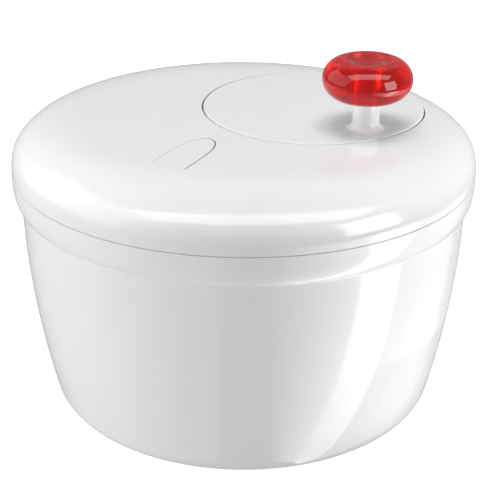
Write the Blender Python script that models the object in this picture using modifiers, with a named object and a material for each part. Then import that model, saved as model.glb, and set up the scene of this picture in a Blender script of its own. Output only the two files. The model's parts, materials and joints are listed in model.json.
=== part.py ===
"""Crank salad spinner: a bowl, a slotted basket that turns in it, and a lid whose off-centre
crank disc spins the basket through an internal gear pair, with a spring-loaded brake key.

Metres, +Z up. The origin is the centre of the foot, on the table, and -Y is the front.
Every turned profile runs down the outer side of its piece.
"""

import math

import bmesh
import bpy
from mathutils import Vector

# ---------------------------------------------------------------- driving dimensions
LID_RADIUS = 0.135
SEAM_Z = 0.1460  # joint line between the bowl's rim and the lid
TOP_Z = 0.1730  # flat top of the lid
WALL = 0.0026  # moulded wall of the bowl and the lid
GAP = 0.0003  # left between two pieces that touch
RUN = 0.0002  # radial play of a turning fit
ROUND_STEPS = 40  # facets round a large turned piece
SMALL_STEPS = 14  # facets round a screw, pin or bush

# Crank disc and gear pair. The disc turns about its own axis, off the lid's axis.
DISC_RADIUS = 0.0652
DISC_OFFSET = 0.0451
DISC_ANGLE = math.radians(25.3)
DISC_X = DISC_OFFSET * math.cos(DISC_ANGLE)
DISC_Y = DISC_OFFSET * math.sin(DISC_ANGLE)
DISC_TOP_Z = TOP_Z + 0.0005
DISC_THICKNESS = 0.0028
DISC_UNDER_Z = DISC_TOP_Z - DISC_THICKNESS
RING_TEETH = 60
PINION_TEETH = 12
MODULE = 2 * DISC_OFFSET / (RING_TEETH - PINION_TEETH)
PRESSURE_ANGLE = math.radians(20)
BACKLASH = 0.00035
GEAR_LOW_Z = 0.1618
GEAR_HIGH_Z = 0.1680

# Knob, on a stem near the edge of the disc.
STEM_OFFSET = 0.0462
STEM_ANGLE = math.radians(-52.4)
STEM_X = DISC_X + STEM_OFFSET * math.cos(STEM_ANGLE)
STEM_Y = DISC_Y + STEM_OFFSET * math.sin(STEM_ANGLE)
STEM_RADIUS = 0.0077
STEM_TOP_Z = 0.1909
KNOB_RADIUS = 0.0255
KNOB_HALF_HEIGHT = 0.0113
KNOB_Z = 0.2029
STEM_PIN_TOP_Z = 0.2050
DISH_RADIUS = 0.0135

# Gear housing, hung under the lid on four screws.
HOUSING_FLOOR_Z = 0.1565
HOUSING_FLOOR_TOP_Z = 0.1585
HOUSING_RADIUS = 0.0695
HOUSING_RIM_Z = 0.1662
HOUSING_SCREW_OFFSET = 0.0750
SCREW_ANGLES = [DISC_ANGLE + math.radians(45 + 90 * k) for k in range(4)]

# Drive plate, under the housing, with lugs that enter notches in the basket's rim.
PLATE_LOW_Z = 0.1498
PLATE_HIGH_Z = 0.1520
PLATE_RADIUS = 0.1154
LUG_COUNT = 4

# Basket.
SLOTS = 24
SLOT_WIDTH = 0.003
BASKET_FLOOR_Z = 0.0180
BASKET_WALL = 0.0020

# Brake key. It lies along a radius of the lid, and its local X runs outwards along it.
BRAKE_ANGLE = math.radians(-116.5)
KEY_HALF_WIDTH = 0.0105
KEY_TIP = 0.0420
KEY_SHOULDER = 0.0660  # the rounded tip reaches full width here
KEY_ROOT = 0.0890
KEY_SEAM = 0.0005
HINGE_X = 0.0850
HINGE_Z = 0.1665
PAD_X = 0.0620
SPRING_X = 0.0745
BRACKET_LOW_Z = 0.1585
BRACKET_HIGH_Z = 0.1605
BRACKET_SCREW_X = 0.0800
BRACKET_SCREW_Y = 0.0215

# ---------------------------------------------------------------- scene and materials


def clear_scene():
    for obj in list(bpy.data.objects):
        bpy.data.objects.remove(obj)


def new_collection(name):
    collection = bpy.data.collections.new(name)
    bpy.context.scene.collection.children.link(collection)
    return collection


def new_material(name, colour, roughness, metallic=0.0, transmission=0.0):
    material = bpy.data.materials.new(name)
    material.use_nodes = True
    shader = material.node_tree.nodes["Principled BSDF"]
    shader.inputs["Base Color"].default_value = (*colour, 1)
    shader.inputs["Roughness"].default_value = roughness
    shader.inputs["Metallic"].default_value = metallic
    shader.inputs["Transmission Weight"].default_value = transmission
    return material


clear_scene()
SPINNER = new_collection("salad_spinner")
CUTTERS = new_collection("cutters")
WHITE_GLOSS = new_material("white_gloss", (0.90, 0.90, 0.90), 0.12)
WHITE_SATIN = new_material("white_satin", (0.86, 0.86, 0.85), 0.40)
ACETAL = new_material("acetal", (0.80, 0.79, 0.74), 0.35)
RED_CLEAR = new_material("red_clear", (0.80, 0.02, 0.02), 0.05, transmission=0.8)
RUBBER = new_material("rubber", (0.16, 0.16, 0.17), 0.80)
STEEL = new_material("steel", (0.70, 0.70, 0.72), 0.25, metallic=1.0)

# ---------------------------------------------------------------- modelling helpers


def add_object(name, data, material, collection=SPINNER, at=(0, 0, 0), turn=0.0):
    obj = bpy.data.objects.new(name, data)
    obj.location = at
    obj.rotation_euler.z = turn
    if material:
        data.materials.append(material)
    collection.objects.link(obj)
    return obj


def turned(
    name, profile, material, at=(0, 0, 0), steps=ROUND_STEPS, ring=False, collection=SPINNER, turn=0.0
):
    """Revolves (radius, z) points about Z. A ring's profile is closed; any other ends on the axis."""
    mesh = bpy.data.meshes.new(name)
    edges = [(i, i + 1) for i in range(len(profile) - 1)]
    if ring:
        edges.append((len(profile) - 1, 0))
    mesh.from_pydata([(r, 0, z) for r, z in profile], edges, [])
    obj = add_object(name, mesh, material, collection, at, turn)
    screw = obj.modifiers.new("turn", "SCREW")
    screw.steps = screw.render_steps = steps
    screw.use_merge_vertices = True
    screw.merge_threshold = 0.00001
    screw.use_smooth_shade = True
    return obj


def tube_profile(inner, outer, low, high):
    return [(outer, high), (outer, low), (inner, low), (inner, high)]


def rod_profile(radius, low, high):
    return [(0, high), (radius, high), (radius, low), (0, low)]


def plate(name, outlines, low, high, material, collection=SPINNER, at=(0, 0), turn=0.0):
    """Extrudes closed (x, y) outlines from low to high. An outline inside another is a hole."""
    curve = bpy.data.curves.new(name, "CURVE")
    curve.dimensions = "2D"
    curve.fill_mode = "BOTH"
    curve.extrude = (high - low) / 2
    for outline in outlines:
        spline = curve.splines.new("POLY")
        spline.points.add(len(outline) - 1)
        for point, (x, y) in zip(spline.points, outline):
            point.co = (x, y, 0, 1)
        spline.use_cyclic_u = True
    obj = add_object(name, curve, material, collection, (*at, (low + high) / 2), turn)
    return as_mesh(obj)


def as_mesh(obj):
    """Replaces a curve object by a welded mesh object of the same name and place."""
    bpy.context.view_layer.update()
    graph = bpy.context.evaluated_depsgraph_get()
    name, matrix, collection = obj.name, obj.matrix_world.copy(), obj.users_collection[0]
    mesh = bpy.data.meshes.new_from_object(obj.evaluated_get(graph))
    bpy.data.objects.remove(obj)
    cage = bmesh.new()
    cage.from_mesh(mesh)
    bmesh.ops.remove_doubles(cage, verts=cage.verts, dist=0.000001)
    cage.to_mesh(mesh)
    cage.free()
    made = bpy.data.objects.new(name, mesh)
    made.matrix_world = matrix
    collection.objects.link(made)
    return made


def box(name, low, high, material, collection=SPINNER, turn=0.0):
    """A box between two corners, given in a frame turned about Z."""
    cage = bmesh.new()
    bmesh.ops.create_cube(cage, size=1)
    middle = [(a + b) / 2 for a, b in zip(low, high)]
    size = [b - a for a, b in zip(low, high)]
    for vertex in cage.verts:
        vertex.co = Vector(m + c * s for m, c, s in zip(middle, vertex.co, size))
    mesh = bpy.data.meshes.new(name)
    cage.to_mesh(mesh)
    cage.free()
    return add_object(name, mesh, material, collection, turn=turn)


def boolean(target, tools, operation):
    for tool in tools:
        tool.hide_render = True
        tool.display_type = "WIRE"
        modifier = target.modifiers.new(operation.lower() + "_" + tool.name, "BOOLEAN")
        modifier.operation = operation
        modifier.object = tool


def cut(target, *tools):
    boolean(target, tools, "DIFFERENCE")


def join(target, *tools):
    boolean(target, tools, "UNION")


def tool_rod(name, radius, low, high, at=(0, 0), steps=SMALL_STEPS, turn=0.0):
    profile = rod_profile(radius, low, high)
    return turned(name, profile, None, (*at, 0), steps, collection=CUTTERS, turn=turn)


def tool_box(name, low, high, turn=0.0):
    return box(name, low, high, None, CUTTERS, turn)


def tool_cross_rod(name, radius, x, z, half_length, turn):
    """A rod along the local Y of a frame turned about Z, for hinge barrels and their holes."""
    cage = bmesh.new()
    bmesh.ops.create_cone(
        cage, cap_ends=True, segments=SMALL_STEPS, radius1=radius, radius2=radius, depth=2 * half_length
    )
    for vertex in cage.verts:
        across, up, along = vertex.co
        vertex.co = (x + across, -along, z + up)
    bmesh.ops.recalc_face_normals(cage, faces=cage.faces)
    mesh = bpy.data.meshes.new(name)
    cage.to_mesh(mesh)
    cage.free()
    mesh.shade_smooth()
    mesh.set_sharp_from_angle(angle=math.radians(40))
    return add_object(name, mesh, None, CUTTERS, turn=turn)


def polar(radius, angle, centre=(0, 0)):
    return centre[0] + radius * math.cos(angle), centre[1] + radius * math.sin(angle)


def arc(centre, radii, first, last, count):
    """Points along an elliptical arc in the (radius, z) plane, angles in degrees."""
    angles = [math.radians(first + (last - first) * k / count) for k in range(count + 1)]
    return [(centre[0] + radii[0] * math.cos(a), centre[1] + radii[1] * math.sin(a)) for a in angles]


# ---------------------------------------------------------------- bowl

FOOT_Z = 0.0008
FLOOR_Z = 0.0063
CREASE_RADIUS = 0.1303
CREASE_Z = 0.1281
CORNER_RADIUS = 0.0135
RIM_INNER = 0.1316
RING_INNER, RING_OUTER = 0.0925, 0.0980
SPIGOT_RADIUS, SPIGOT_Z = 0.0040, 0.0130


def bowl_wall(inset, low_z, wall_count, corner_count):
    """The bowl's side from under the rim bead, round its lower corner and onto its flat foot."""
    start, middle, end = (CREASE_RADIUS, CREASE_Z), (0.1298, 0.0695), (0.1156, 0.0104)
    side = []
    for k in range(wall_count + 1):
        t = k / wall_count
        weights = (1 - t) ** 2, 2 * (1 - t) * t, t * t
        side.append([sum(w * p[axis] for w, p in zip(weights, (start, middle, end))) for axis in (0, 1)])
    lean = math.atan2(middle[0] - end[0], middle[1] - end[1])
    centre = (end[0] - CORNER_RADIUS * math.cos(lean), end[1] + CORNER_RADIUS * math.sin(lean))
    first = -math.degrees(lean)
    side += arc(centre, (CORNER_RADIUS, CORNER_RADIUS), first, -90, corner_count)[1:]
    bottom = centre[1] - CORNER_RADIUS
    squeeze = (CREASE_Z - low_z) / (CREASE_Z - bottom)
    return [(r - inset, CREASE_Z - (CREASE_Z - z) * squeeze) for r, z in side]


def make_bowl():
    seam = SEAM_Z - 0.00025
    inside = bowl_wall(WALL, FLOOR_Z, 4, 3)
    bead_z = SEAM_Z - 0.005
    bead = arc((CREASE_RADIUS, bead_z), (LID_RADIUS - CREASE_RADIUS, bead_z - CREASE_Z), 0, -75, 4)
    profile = [(0, SPIGOT_Z), (SPIGOT_RADIUS, SPIGOT_Z), (SPIGOT_RADIUS, FLOOR_Z)]
    profile += list(reversed(inside))
    profile += [(RIM_INNER, 0.1380), (RIM_INNER, seam), (LID_RADIUS, seam)]
    profile += bead
    profile += bowl_wall(0, FOOT_Z, 5, 4)[1:]
    profile += [(RING_OUTER + GAP, FOOT_Z), (RING_OUTER + GAP, 0.0028), (RING_INNER - GAP, 0.0028)]
    profile += [(RING_INNER - GAP, FOOT_Z), (0.0905, FOOT_Z), (0.0885, 0.0035), (0, 0.0035)]
    turned("bowl", profile, WHITE_GLOSS)
    turned("non_slip_ring", tube_profile(RING_INNER, RING_OUTER, 0, 0.0025), RUBBER, ring=True)


# ---------------------------------------------------------------- basket and its pivot

PIN_RADIUS = 0.0027


def make_pivot():
    """The pivot foot sits over the bowl's spigot, and its pin carries the basket's bush."""
    profile = [(0, 0.0250), (PIN_RADIUS - 0.0007, 0.0250), (PIN_RADIUS, 0.0243), (PIN_RADIUS, 0.0160)]
    profile += [(0.0070, 0.0160), (0.0090, 0.0140), (0.0090, FLOOR_Z + GAP)]
    over = SPIGOT_Z + GAP
    profile += [(SPIGOT_RADIUS + GAP, FLOOR_Z + GAP), (SPIGOT_RADIUS + GAP, over), (0, over)]
    turned("pivot_foot", profile, ACETAL, steps=16)
    turned("pivot_clip", tube_profile(PIN_RADIUS + RUN, 0.0060, 0.0223, 0.0233), STEEL, steps=16, ring=True)
    bush = [(0.0130, 0.0220), (0.0130, 0.0203), (0.0117, 0.0203), (0.0117, 0.0177), (0.0140, 0.0177)]
    bush += [(0.0140, 0.0163), (PIN_RADIUS + RUN, 0.0163), (PIN_RADIUS + RUN, 0.0220)]
    turned("basket_bush", bush, ACETAL, steps=16, ring=True)


def basket_rows():
    """(radius, z, kind) up the outer skin. Kind says what the band above that row is."""
    floor = BASKET_FLOOR_Z
    return [
        (0.0120, floor, "solid"),
        (0.0360, floor, "slot"),
        (0.0900, floor, "solid"),
        (0.0990, floor + 0.0010, "solid"),
        (0.1045, floor + 0.0045, "solid"),
        (0.1072, floor + 0.0110, "solid"),
        (0.1085, 0.0350, "slot"),
        (0.1120, 0.0700, "solid"),
        (0.1126, 0.0760, "slot"),
        (0.1159, 0.1100, "solid"),
        (0.1184, 0.1350, "notch"),
        (0.1190, 0.1405, "notch"),
        (0.1218, 0.1418, "end"),
    ]


def make_basket():
    """A grid wrapped round the axis, with slots and rim notches left out, made solid by Solidify."""
    rows = basket_rows()
    pitch = 2 * math.pi / SLOTS
    cage = bmesh.new()
    bmesh.ops.create_grid(cage, x_segments=2 * SLOTS, y_segments=len(rows) - 1, size=1)
    index = {}
    for vertex in cage.verts:
        column = round((vertex.co.x + 1) / 2 * 2 * SLOTS)
        row = round((vertex.co.y + 1) / 2 * (len(rows) - 1))
        index[vertex] = (column, row)
    slots = [f for f in cage.faces if is_open(f, index, rows)]
    bmesh.ops.delete(cage, geom=slots, context="FACES")
    for vertex, (column, row) in index.items():
        radius, z, _ = rows[row]
        half = min(SLOT_WIDTH / 2 / radius, 0.3 * pitch)
        angle = (column // 2) * pitch + (half if column % 2 else -half)
        vertex.co = (*polar(radius, angle), z)
    bmesh.ops.remove_doubles(cage, verts=cage.verts, dist=0.000001)
    bmesh.ops.recalc_face_normals(cage, faces=cage.faces)
    mesh = bpy.data.meshes.new("basket")
    cage.to_mesh(mesh)
    cage.free()
    mesh.shade_smooth()
    mesh.set_sharp_from_angle(angle=math.radians(35))
    obj = add_object("basket", mesh, WHITE_SATIN)
    shell = obj.modifiers.new("wall", "SOLIDIFY")
    shell.thickness = BASKET_WALL
    shell.offset = 1  # the wall grows towards the inside of the basket
    shell.use_even_offset = True


def is_open(face, index, rows):
    places = [index[v] for v in face.verts]
    column = min(c for c, _ in places)
    kind = rows[min(r for _, r in places)][2]
    if kind == "slot":
        return column % 2 == 0
    return kind == "notch" and column % 2 == 1 and (column // 2) % (SLOTS // LUG_COUNT) == 0


# ---------------------------------------------------------------- lid

SHOULDER_START = 0.0800
SHOULDER_POWER = 2.8


def shoulder(inset, low_z, count):
    """The lid's rounded shoulder, from the flat top down to its edge, as a superellipse."""
    width = LID_RADIUS - SHOULDER_START - inset
    height = TOP_Z - inset - low_z
    power = 2 / SHOULDER_POWER
    angles = [math.pi / 2 * k / count for k in range(count + 1)]
    return [
        (SHOULDER_START + width * math.sin(a) ** power, low_z + height * max(math.cos(a), 0) ** power)
        for a in angles
    ]


def key_outline(inset):
    """Outline of the brake key in its local frame: a long rounded tip and a square root."""
    half = KEY_HALF_WIDTH - inset
    reach = KEY_SHOULDER - KEY_TIP - inset
    tip = [math.radians(90 + 180 * k / 12) for k in range(13)]
    rounded = [(KEY_SHOULDER + reach * math.cos(a), half * math.sin(a)) for a in tip]
    root = KEY_ROOT - inset
    return rounded + [(root, -half), (root, half)]


def make_lid():
    low = SEAM_Z + 0.00025
    under = TOP_Z - WALL
    rib_outer, rib_inner, rib_z = RIM_INNER - 0.0005, RIM_INNER - 0.0025, SEAM_Z - 0.0060
    profile = [(0, TOP_Z)] + shoulder(0, low, 8)
    profile += [(rib_outer, low), (rib_outer, rib_z), (rib_inner, rib_z), (rib_inner, low)]
    profile += [(r, z) for r, z in reversed(shoulder(WALL, low, 6)) if r < rib_inner]
    profile += [(0, under)]
    lid = turned("lid_shell", profile, WHITE_GLOSS)
    for k, angle in enumerate(SCREW_ANGLES):
        at = polar(HOUSING_SCREW_OFFSET, angle, (DISC_X, DISC_Y))
        boss_low = HOUSING_FLOOR_TOP_Z + GAP
        join(lid, tool_rod(f"lid_boss_{k}", 0.0040, boss_low, boss_top(at), at))
        cut(lid, tool_rod(f"lid_boss_hole_{k}", 0.0016, boss_low - 0.001, boss_low + 0.0085, at, 10))
    for side in (-1, 1):
        at = turn_point((BRACKET_SCREW_X, side * BRACKET_SCREW_Y))
        boss_low = BRACKET_HIGH_Z + GAP
        join(lid, tool_rod(f"brake_boss_{side}", 0.0040, boss_low, boss_top(at), at))
        cut(lid, tool_rod(f"brake_boss_hole_{side}", 0.0016, boss_low - 0.001, boss_low + 0.0080, at, 10))
    opening = tool_rod("disc_opening", DISC_RADIUS + 0.0008, 0.1660, 0.1760, (DISC_X, DISC_Y), ROUND_STEPS)
    slot = plate("key_opening", [key_outline(0)], 0.1660, 0.1760, None, CUTTERS, turn=BRAKE_ANGLE)
    cut(lid, opening, slot)


def boss_top(at):
    """A height inside the lid's wall above a point of the underside."""
    radius = math.hypot(*at)
    height = TOP_Z - SEAM_Z
    share = max(0, (radius - SHOULDER_START) / (LID_RADIUS - SHOULDER_START))
    return SEAM_Z + height * (1 - share**SHOULDER_POWER) ** (1 / SHOULDER_POWER) - WALL / 2


def turn_point(point):
    """A point of the brake key's local frame, in the spinner's frame."""
    x, y = point
    c, s = math.cos(BRAKE_ANGLE), math.sin(BRAKE_ANGLE)
    return x * c - y * s, x * s + y * c


# ---------------------------------------------------------------- gear housing and fasteners


def screw_profile(head_radius, head_low, head_high, shank_radius, tip_z):
    """A screw driven from below: its head is at the bottom and its shank points up."""
    socket = head_radius * 0.4
    return [
        (0, tip_z),
        (shank_radius * 0.4, tip_z),
        (shank_radius, tip_z - 0.0012),
        (shank_radius, head_high),
        (head_radius, head_high),
        (head_radius, head_low + 0.0005),
        (head_radius - 0.0005, head_low),
        (socket, head_low),
        (socket * 0.5, head_low + 0.0009),
        (0, head_low + 0.0009),
    ]


def make_housing():
    """A tray under the crank disc, with a bearing tube for the disc and one for the spindle."""
    centre = (DISC_X, DISC_Y)
    floor, top = HOUSING_FLOOR_Z, HOUSING_FLOOR_TOP_Z
    rim, inner = HOUSING_RIM_Z, HOUSING_RADIUS - 0.0020
    profile = [(HOUSING_RADIUS, rim), (HOUSING_RADIUS, floor), (0.0043, floor), (0.0043, top - 0.0005)]
    profile += [(0.0058, top - 0.0005), (0.0058, 0.1690), (0.0083, 0.1690), (0.0083, top)]
    profile += [(inner, top), (inner, rim)]
    housing = turned("gear_housing", profile, WHITE_SATIN, (*centre, 0), ring=True)
    join(housing, tool_rod("spindle_tube", 0.0065, 0.1550, 0.1600, (0, 0), 16))
    for k, angle in enumerate(SCREW_ANGLES):
        at = polar(HOUSING_SCREW_OFFSET, angle, centre)
        ear = tool_box(f"housing_ear_{k}", (0.0685, -0.0055, floor), (0.0805, 0.0055, top), angle)
        ear.location = (*centre, 0)
        join(housing, ear)
        cut(housing, tool_rod(f"housing_hole_{k}", 0.0017, floor - 0.001, top + 0.001, at, 10))
        screw = screw_profile(0.0031, floor - GAP - 0.0020, floor - GAP, 0.0013, 0.1668)
        turned(f"housing_screw_{k + 1}", screw, STEEL, (*at, 0), 10)
    cut(housing, tool_rod("spindle_hole", 0.0046, 0.1540, 0.1620, (0, 0), 16))


def make_spindle():
    """The pinion's spindle: a round journal between two hexagonal ends, tapped for its screw."""
    low, high = 0.1456, GEAR_HIGH_Z
    spindle = turned("spindle", rod_profile(0.0028, 0.1549, GEAR_LOW_Z - 0.0001), STEEL, steps=SMALL_STEPS)
    join(spindle, tool_rod("spindle_hexagon", 0.0025, low, high, steps=6))
    cut(spindle, tool_rod("spindle_tapping", 0.0015, low - 0.001, 0.1540, steps=10))
    bush = [(0.0062, 0.1613), (0.0062, 0.1603), (0.0043, 0.1603), (0.0043, 0.1550)]
    bush += [(0.0028 + RUN, 0.1550), (0.0028 + RUN, 0.1613)]
    turned("spindle_bush", bush, ACETAL, steps=16, ring=True)
    washer = tube_profile(0.0016, 0.0065, 0.1443, 0.1453)
    turned("driver_washer", washer, STEEL, steps=SMALL_STEPS, ring=True)
    turned("driver_screw", screw_profile(0.0040, 0.1420, 0.1440, 0.0012, 0.1530), STEEL, steps=16)


# ---------------------------------------------------------------- gears


def involute(angle):
    return math.tan(angle) - angle


def tooth_half_angle(radius, teeth, widening):
    """Half the angle that a tooth takes at this radius. Widening is extra width at the pitch circle."""
    pitch_radius = MODULE * teeth / 2
    base = pitch_radius * math.cos(PRESSURE_ANGLE)
    here = math.acos(min(1.0, base / max(radius, base)))
    half_at_pitch = math.pi / 2 / teeth + widening / 2 / pitch_radius
    return half_at_pitch + involute(PRESSURE_ANGLE) - involute(here)


def gear_outline(teeth, root, tip, widening, phase, flank_points):
    """The outline of an external gear with a tooth at the phase angle."""
    outline = []
    radii = [root + (tip - root) * k / (flank_points - 1) for k in range(flank_points)]
    for k in range(teeth):
        middle = phase + 2 * math.pi * k / teeth
        halves = [(r, tooth_half_angle(r, teeth, widening)) for r in radii]
        outline += [polar(r, middle - half) for r, half in halves]
        outline += [polar(r, middle + half) for r, half in reversed(halves)]
    return outline


def circle_outline(radius, count):
    return [polar(radius, 2 * math.pi * k / count) for k in range(count)]


def make_gears():
    """The teeth meet on the line from the disc's axis through the lid's axis."""
    mesh_angle = DISC_ANGLE + math.pi
    ring_pitch, pinion_pitch = MODULE * RING_TEETH / 2, MODULE * PINION_TEETH / 2
    spaces = gear_outline(
        RING_TEETH, ring_pitch - 0.65 * MODULE, ring_pitch + 1.25 * MODULE, BACKLASH / 2, mesh_angle, 2
    )
    high = DISC_UNDER_Z - GAP
    rim = circle_outline(0.0626, 60)
    plate("ring_gear", [rim, spaces], GEAR_LOW_Z, high, ACETAL, at=(DISC_X, DISC_Y))
    bpy.data.objects["ring_gear"].data.materials.append(ACETAL)
    teeth = gear_outline(
        PINION_TEETH, pinion_pitch - 1.1 * MODULE, pinion_pitch + 1.0 * MODULE, -BACKLASH / 2, mesh_angle, 4
    )
    bore = [polar(0.0028 + GAP / 2, math.radians(60 * k)) for k in range(6)]
    plate("pinion", [teeth, bore], GEAR_LOW_Z, GEAR_HIGH_Z, ACETAL)


# ---------------------------------------------------------------- crank disc and knob


def make_disc():
    """The crank disc with its axle below and the knob's stem above, moulded in one piece."""
    edge = 0.0014
    profile = [(0, DISC_TOP_Z), (DISC_RADIUS - edge, DISC_TOP_Z)]
    profile += arc((DISC_RADIUS - edge, DISC_TOP_Z - edge), (edge, edge), 60, 0, 2)
    profile += [(DISC_RADIUS, DISC_UNDER_Z), (0.0040, DISC_UNDER_Z), (0.0040, 0.1568), (0, 0.1568)]
    disc = turned("crank_disc", profile, WHITE_GLOSS, (DISC_X, DISC_Y, 0))
    stem = [(0, STEM_PIN_TOP_Z), (0.0045, STEM_PIN_TOP_Z), (0.0045, STEM_TOP_Z), (STEM_RADIUS, STEM_TOP_Z)]
    flare = 0.0040
    stem += arc((STEM_RADIUS + flare, DISC_TOP_Z + flare), (flare, flare), 180, 262, 4)
    stem += [(STEM_RADIUS + flare, DISC_TOP_Z - 0.0010), (0, DISC_TOP_Z - 0.0010)]
    join(disc, turned("stem", stem, None, (STEM_X, STEM_Y, 0), 20, collection=CUTTERS))
    cut(disc, tool_rod("axle_hole", 0.0016, 0.1550, 0.1670, (DISC_X, DISC_Y), 10))
    cut(disc, tool_rod("stem_hole", 0.0016, 0.1940, 0.2070, (STEM_X, STEM_Y), 10))
    at = (DISC_X, DISC_Y, 0)
    turned("disc_bush", tube_profile(0.0040 + RUN, 0.0056, 0.1583, 0.1690), ACETAL, at, 16, ring=True)
    turned("disc_washer", tube_profile(0.0016, 0.0068, 0.1554, 0.1562), STEEL, at, SMALL_STEPS, ring=True)
    turned("disc_screw", screw_profile(0.0034, 0.1534, 0.1551, 0.0013, 0.1660), STEEL, at, 12)


def make_knob():
    """A flattened ball that spins on the stem, with a dished cap over its screw."""
    at = (STEM_X, STEM_Y, 0)
    top = KNOB_Z + KNOB_HALF_HEIGHT
    seat = 0.2047
    outside = arc((DISH_RADIUS, KNOB_Z), (KNOB_RADIUS - DISH_RADIUS, KNOB_HALF_HEIGHT), 78, -70, 8)
    body = [(0.0126, 0.2106), (0.0126, top - 0.0006)] + outside
    body += [(0.0092, KNOB_Z - KNOB_HALF_HEIGHT + 0.0002), (0.0063, KNOB_Z - KNOB_HALF_HEIGHT + 0.0004)]
    body += [(0.0063, seat), (0.0105, seat), (0.0105, 0.2106)]
    turned("knob_body", body, RED_CLEAR, at, 30, ring=True)
    cap = [(0, 0.2112), (0.0060, 0.2117), (0.0123, top - 0.0010), (0.0123, 0.2109), (0.0100, 0.2109)]
    cap += [(0.0090, 0.2097), (0, 0.2093)]
    turned("knob_cap", cap, RED_CLEAR, at, 30)
    sleeve = tube_profile(0.0045 + RUN, 0.0060, STEM_TOP_Z + 0.0004, 0.2044)
    turned("knob_sleeve", sleeve, ACETAL, at, 16, ring=True)
    turned("knob_washer", tube_profile(0.0016, 0.0078, 0.2053, 0.2061), STEEL, at, SMALL_STEPS, ring=True)
    screw = [(0, 0.2083), (0.0012, 0.2077), (0.0030, 0.2084), (0.0036, 0.2078), (0.0036, 0.2064)]
    screw += [(0.0013, 0.2064), (0.0013, 0.1955), (0, 0.1945)]
    turned("knob_screw", screw, STEEL, at, 16)


# ---------------------------------------------------------------- drive plate


def make_drive_plate():
    """Turns with the spindle: hub, plate with a raised brake track, skirt, and the drive lugs."""
    low, high = PLATE_LOW_Z, PLATE_HIGH_Z
    track_in, track_out, track_z = 0.0560, 0.0690, 0.1534
    profile = [(0, 0.1546), (0.0085, 0.1546), (0.0095, high), (track_in - 0.0015, high), (track_in, track_z)]
    profile += [(track_out, track_z), (track_out + 0.0015, high), (PLATE_RADIUS - 0.0030, high)]
    profile += [(PLATE_RADIUS, high - 0.0030), (PLATE_RADIUS - 0.0004, 0.1370), (PLATE_RADIUS - 0.0024, 0.1370)]
    profile += [(PLATE_RADIUS - 0.0024, high - 0.0045), (PLATE_RADIUS - 0.0050, low), (0.0090, low)]
    profile += [(0.0080, 0.1456), (0, 0.1456)]
    drive = turned("drive_plate", profile, WHITE_SATIN)
    for k in range(LUG_COUNT):
        angle = 2 * math.pi * k / LUG_COUNT + math.pi / SLOTS
        root = PLATE_RADIUS - 0.0020
        lug = tool_box(f"lug_{k}", (root, -0.0070, 0.1372), (0.1210, 0.0070, 0.1410), angle)
        join(drive, lug)
    bore = tool_rod("plate_bore", 0.0028, 0.1440, 0.1560, steps=6)
    cut(drive, bore)


# ---------------------------------------------------------------- brake


def make_brake():
    """A key flush with the lid, hinged at its root, that presses a pad on the drive plate."""
    turn = BRAKE_ANGLE
    under = TOP_Z - WALL
    key = plate("brake_key", [key_outline(KEY_SEAM)], under, TOP_Z, None, turn=turn)
    key.data.materials.append(WHITE_GLOSS)
    barrel = tool_cross_rod("key_barrel", 0.0032, HINGE_X, HINGE_Z, 0.0098, turn)
    top = under + 0.001
    low, high = (HINGE_X - 0.0028, -0.0097, HINGE_Z), (HINGE_X + 0.0022, 0.0097, top)
    neck = tool_box("key_neck", low, high, turn)
    post = tool_box("key_post", (PAD_X - 0.003, -0.005, 0.1596), (PAD_X + 0.003, 0.005, top), turn)
    join(key, barrel, neck, post)
    cut(key, tool_cross_rod("key_barrel_hole", 0.0017, HINGE_X, HINGE_Z, 0.0150, turn))
    low, high = (PAD_X - 0.0045, -0.0070, 0.1566), (PAD_X + 0.0045, 0.0070, 0.1593)
    pad = box("brake_pad", low, high, RUBBER, turn=turn)
    hinge = bpy.data.objects.new("brake_hinge", None)
    hinge.location = (*turn_point((HINGE_X, 0)), HINGE_Z)
    SPINNER.objects.link(hinge)
    bpy.context.view_layer.update()
    for piece in (key, pad):
        piece.parent = hinge
        piece.matrix_parent_inverse = hinge.matrix_world.inverted()
    make_bracket(turn)


def make_bracket(turn):
    """Carries the hinge pin and the return spring, and hangs from the lid on two screws."""
    low, high, top = BRACKET_LOW_Z, BRACKET_HIGH_Z, TOP_Z - WALL - 0.0008
    bracket = box("brake_bracket", (0.0690, -0.0145, low), (0.0920, 0.0145, high), WHITE_SATIN, turn=turn)
    for side in (-1, 1):
        y = sorted((side * 0.0120, side * 0.0145))
        cheek = tool_box(f"cheek_{side}", (0.0790, y[0], low + 0.0002), (0.0900, y[1], top), turn)
        at = turn_point((BRACKET_SCREW_X, side * BRACKET_SCREW_Y))
        ear = tool_rod(f"bracket_ear_{side}", 0.0048, low, high, at)
        link_y = sorted((side * 0.0140, side * BRACKET_SCREW_Y))
        link = tool_box(
            f"bracket_link_{side}",
            (BRACKET_SCREW_X - 0.004, link_y[0], low + 0.0001),
            (BRACKET_SCREW_X + 0.004, link_y[1], high - 0.0001),
            turn,
        )
        join(bracket, cheek, link, ear)
        cut(bracket, tool_rod(f"bracket_hole_{side}", 0.0017, low - 0.001, high + 0.001, at, 10))
        screw = screw_profile(0.0031, low - GAP - 0.0020, low - GAP, 0.0013, 0.1675)
        turned(f"bracket_screw_{(side + 3) // 2}", screw, STEEL, (*at, 0), 10)
    cut(bracket, tool_cross_rod("bracket_pin_hole", 0.0017, HINGE_X, HINGE_Z, 0.0200, turn))
    pin = tool_cross_rod("brake_pin", 0.0014, HINGE_X, HINGE_Z, 0.0142, turn)
    CUTTERS.objects.unlink(pin)
    SPINNER.objects.link(pin)
    pin.data.materials.append(STEEL)
    make_spring(turn)


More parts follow.
